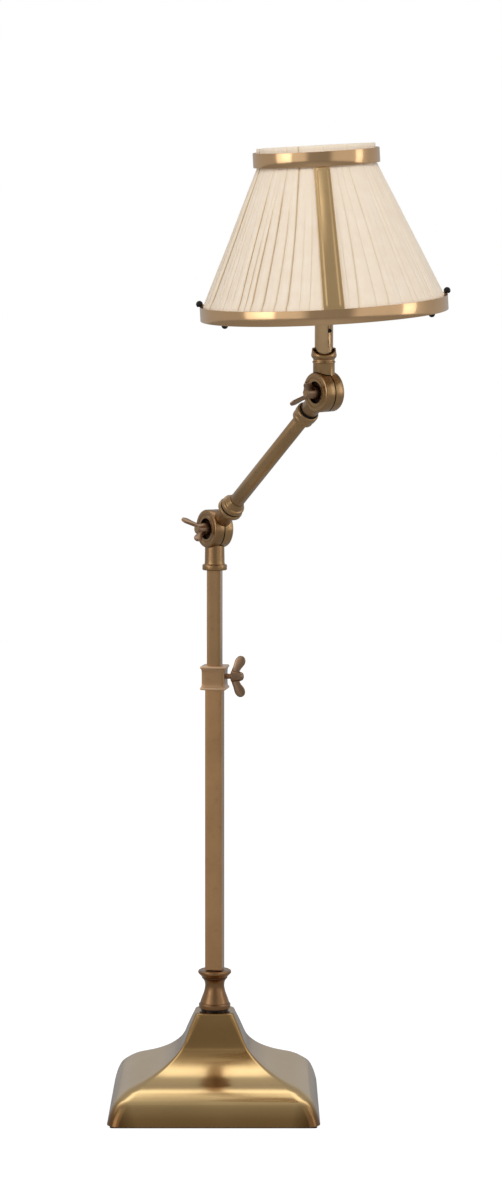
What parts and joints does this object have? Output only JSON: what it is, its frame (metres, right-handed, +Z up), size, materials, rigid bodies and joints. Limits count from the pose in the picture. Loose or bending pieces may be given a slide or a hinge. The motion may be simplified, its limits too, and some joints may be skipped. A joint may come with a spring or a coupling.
{
  "type": "pharmacy floor lamp",
  "caption": "Floor lamp with a square ogee foot, a telescoping square post, a jointed arm on wing-nut knuckles and a banded, strapped fabric shade.",
  "frame": {"origin": "centre of the square foot, on the underside of its felt pad", "axes": "+Z up; -Y the front of the square foot, towards which the arm is raised; +X to the right seen from the front"},
  "size_m": [0.4256, 0.5028, 1.2311],
  "materials": {
    "brass": "aged brushed brass, lacquered",
    "band_brass": "satin polished brass",
    "fabric": "cream pleated fabric",
    "black": "black",
    "felt": "black felt",
    "rubber": "black rubber",
    "steel": "zinc-plated steel",
    "iron": "raw cast iron",
    "black_metal": "black oxide",
    "glass": "frosted"
  },
  "bodies": {
    "foot": {"felt_pad": "felt", "base_plate": "steel", "plate_screws": "steel", "base_weight": "iron", "base_shell": "brass", "base_collar": "brass", "base_rod": "steel", "base_washer": "steel", "base_nut": "steel", "cord_gland": "rubber", "lower_post": "brass", "post_plug": "steel", "clamp_block": "brass"},
    "clamp_screw": {"clamp_wing_screw": "brass"},
    "mast": {"upper_post": "brass", "mast_guide": "black", "mast_cap": "brass"},
    "swivel": {"lower_knuckle": "brass", "lower_bolt": "brass", "lower_friction_disc": "black"},
    "lower_nut": {"lower_wing_nut": "brass"},
    "arm": {"arm_lower_socket": "brass", "arm_lower_washer": "black", "arm_ferrule": "brass", "arm_tube": "brass", "arm_upper_sleeve": "brass"},
    "arm_end": {"arm_upper_socket": "brass", "arm_upper_washer": "black", "upper_bolt": "brass", "upper_friction_disc": "black"},
    "upper_nut": {"upper_wing_nut": "brass"},
    "head": {"head_neck": "brass", "neck_seal": "rubber"},
    "shade": {"shade_tube": "brass", "set_screw": "black_metal", "holder_cup": "brass", "lamp_holder": "black", "holder_ring": "black", "lamp_contact": "band_brass", "bulb_cap": "steel", "bulb_glass": "glass", "shade_carrier": "brass", "carrier_nuts": "black_metal", "bottom_band": "band_brass", "top_band": "band_brass", "strap_front": "band_brass", "strap_left": "band_brass", "strap_right": "band_brass", "shade_clips": "black_metal", "fabric_shade": "fabric", "shade_wires": "steel"},
    "switch": {"switch_knob": "black"}
  },
  "joints": [
    {"name": "clamp_screw_turn", "type": "hinge", "parent": "foot", "child": "clamp_screw", "pos_m": [0.02371, -0.00375, 0.552], "axis": [0.9877, -0.1564, 0], "range_deg": [-180, 180]},
    {"name": "mast_slide", "type": "slide", "parent": "foot", "child": "mast", "axis": [0, 0, 1], "range_m": [-0.1, 0.2]},
    {"name": "mast_swivel", "type": "hinge", "parent": "mast", "child": "swivel", "pos_m": [0, 0, 0.7], "axis": [0, 0, 1], "range_deg": [-170, 170]},
    {"name": "arm_tilt", "type": "hinge", "parent": "swivel", "child": "arm", "pos_m": [0, 0, 0.743], "axis": [0.8358, 0.549, 0], "range_deg": [-84, 56]},
    {"name": "lower_nut_turn", "type": "hinge", "parent": "swivel", "child": "lower_nut", "pos_m": [-0.01504, -0.00988, 0.743], "axis": [0.8358, 0.549, 0], "range_deg": [-180, 180]},
    {"name": "arm_twist", "type": "hinge", "parent": "arm", "child": "arm_end", "pos_m": [0.1146, -0.17445, 0.89465], "axis": [0.4442, -0.6762, 0.5878], "range_deg": [-90, 90]},
    {"name": "upper_nut_turn", "type": "hinge", "parent": "arm_end", "child": "upper_nut", "pos_m": [0.12171, -0.21801, 0.92254], "axis": [0.8139, 0.5788, 0.0508], "range_deg": [-180, 180]},
    {"name": "head_tilt", "type": "hinge", "parent": "arm_end", "child": "head", "pos_m": [0.13636, -0.20759, 0.92345], "axis": [0.8139, 0.5788, 0.0508], "range_deg": [-50, 100]},
    {"name": "shade_turn", "type": "hinge", "parent": "head", "child": "shade", "pos_m": [0.13634, -0.2115, 0.96828], "axis": [-0.0004, -0.0869, 0.9962], "range_deg": [-170, 170]},
    {"name": "switch_turn", "type": "hinge", "parent": "shade", "child": "switch", "pos_m": [0.15621, -0.21753, 1.05961], "axis": [0.9954, 0.0958, 0.0088], "range_deg": [0, 90]}
  ]
}
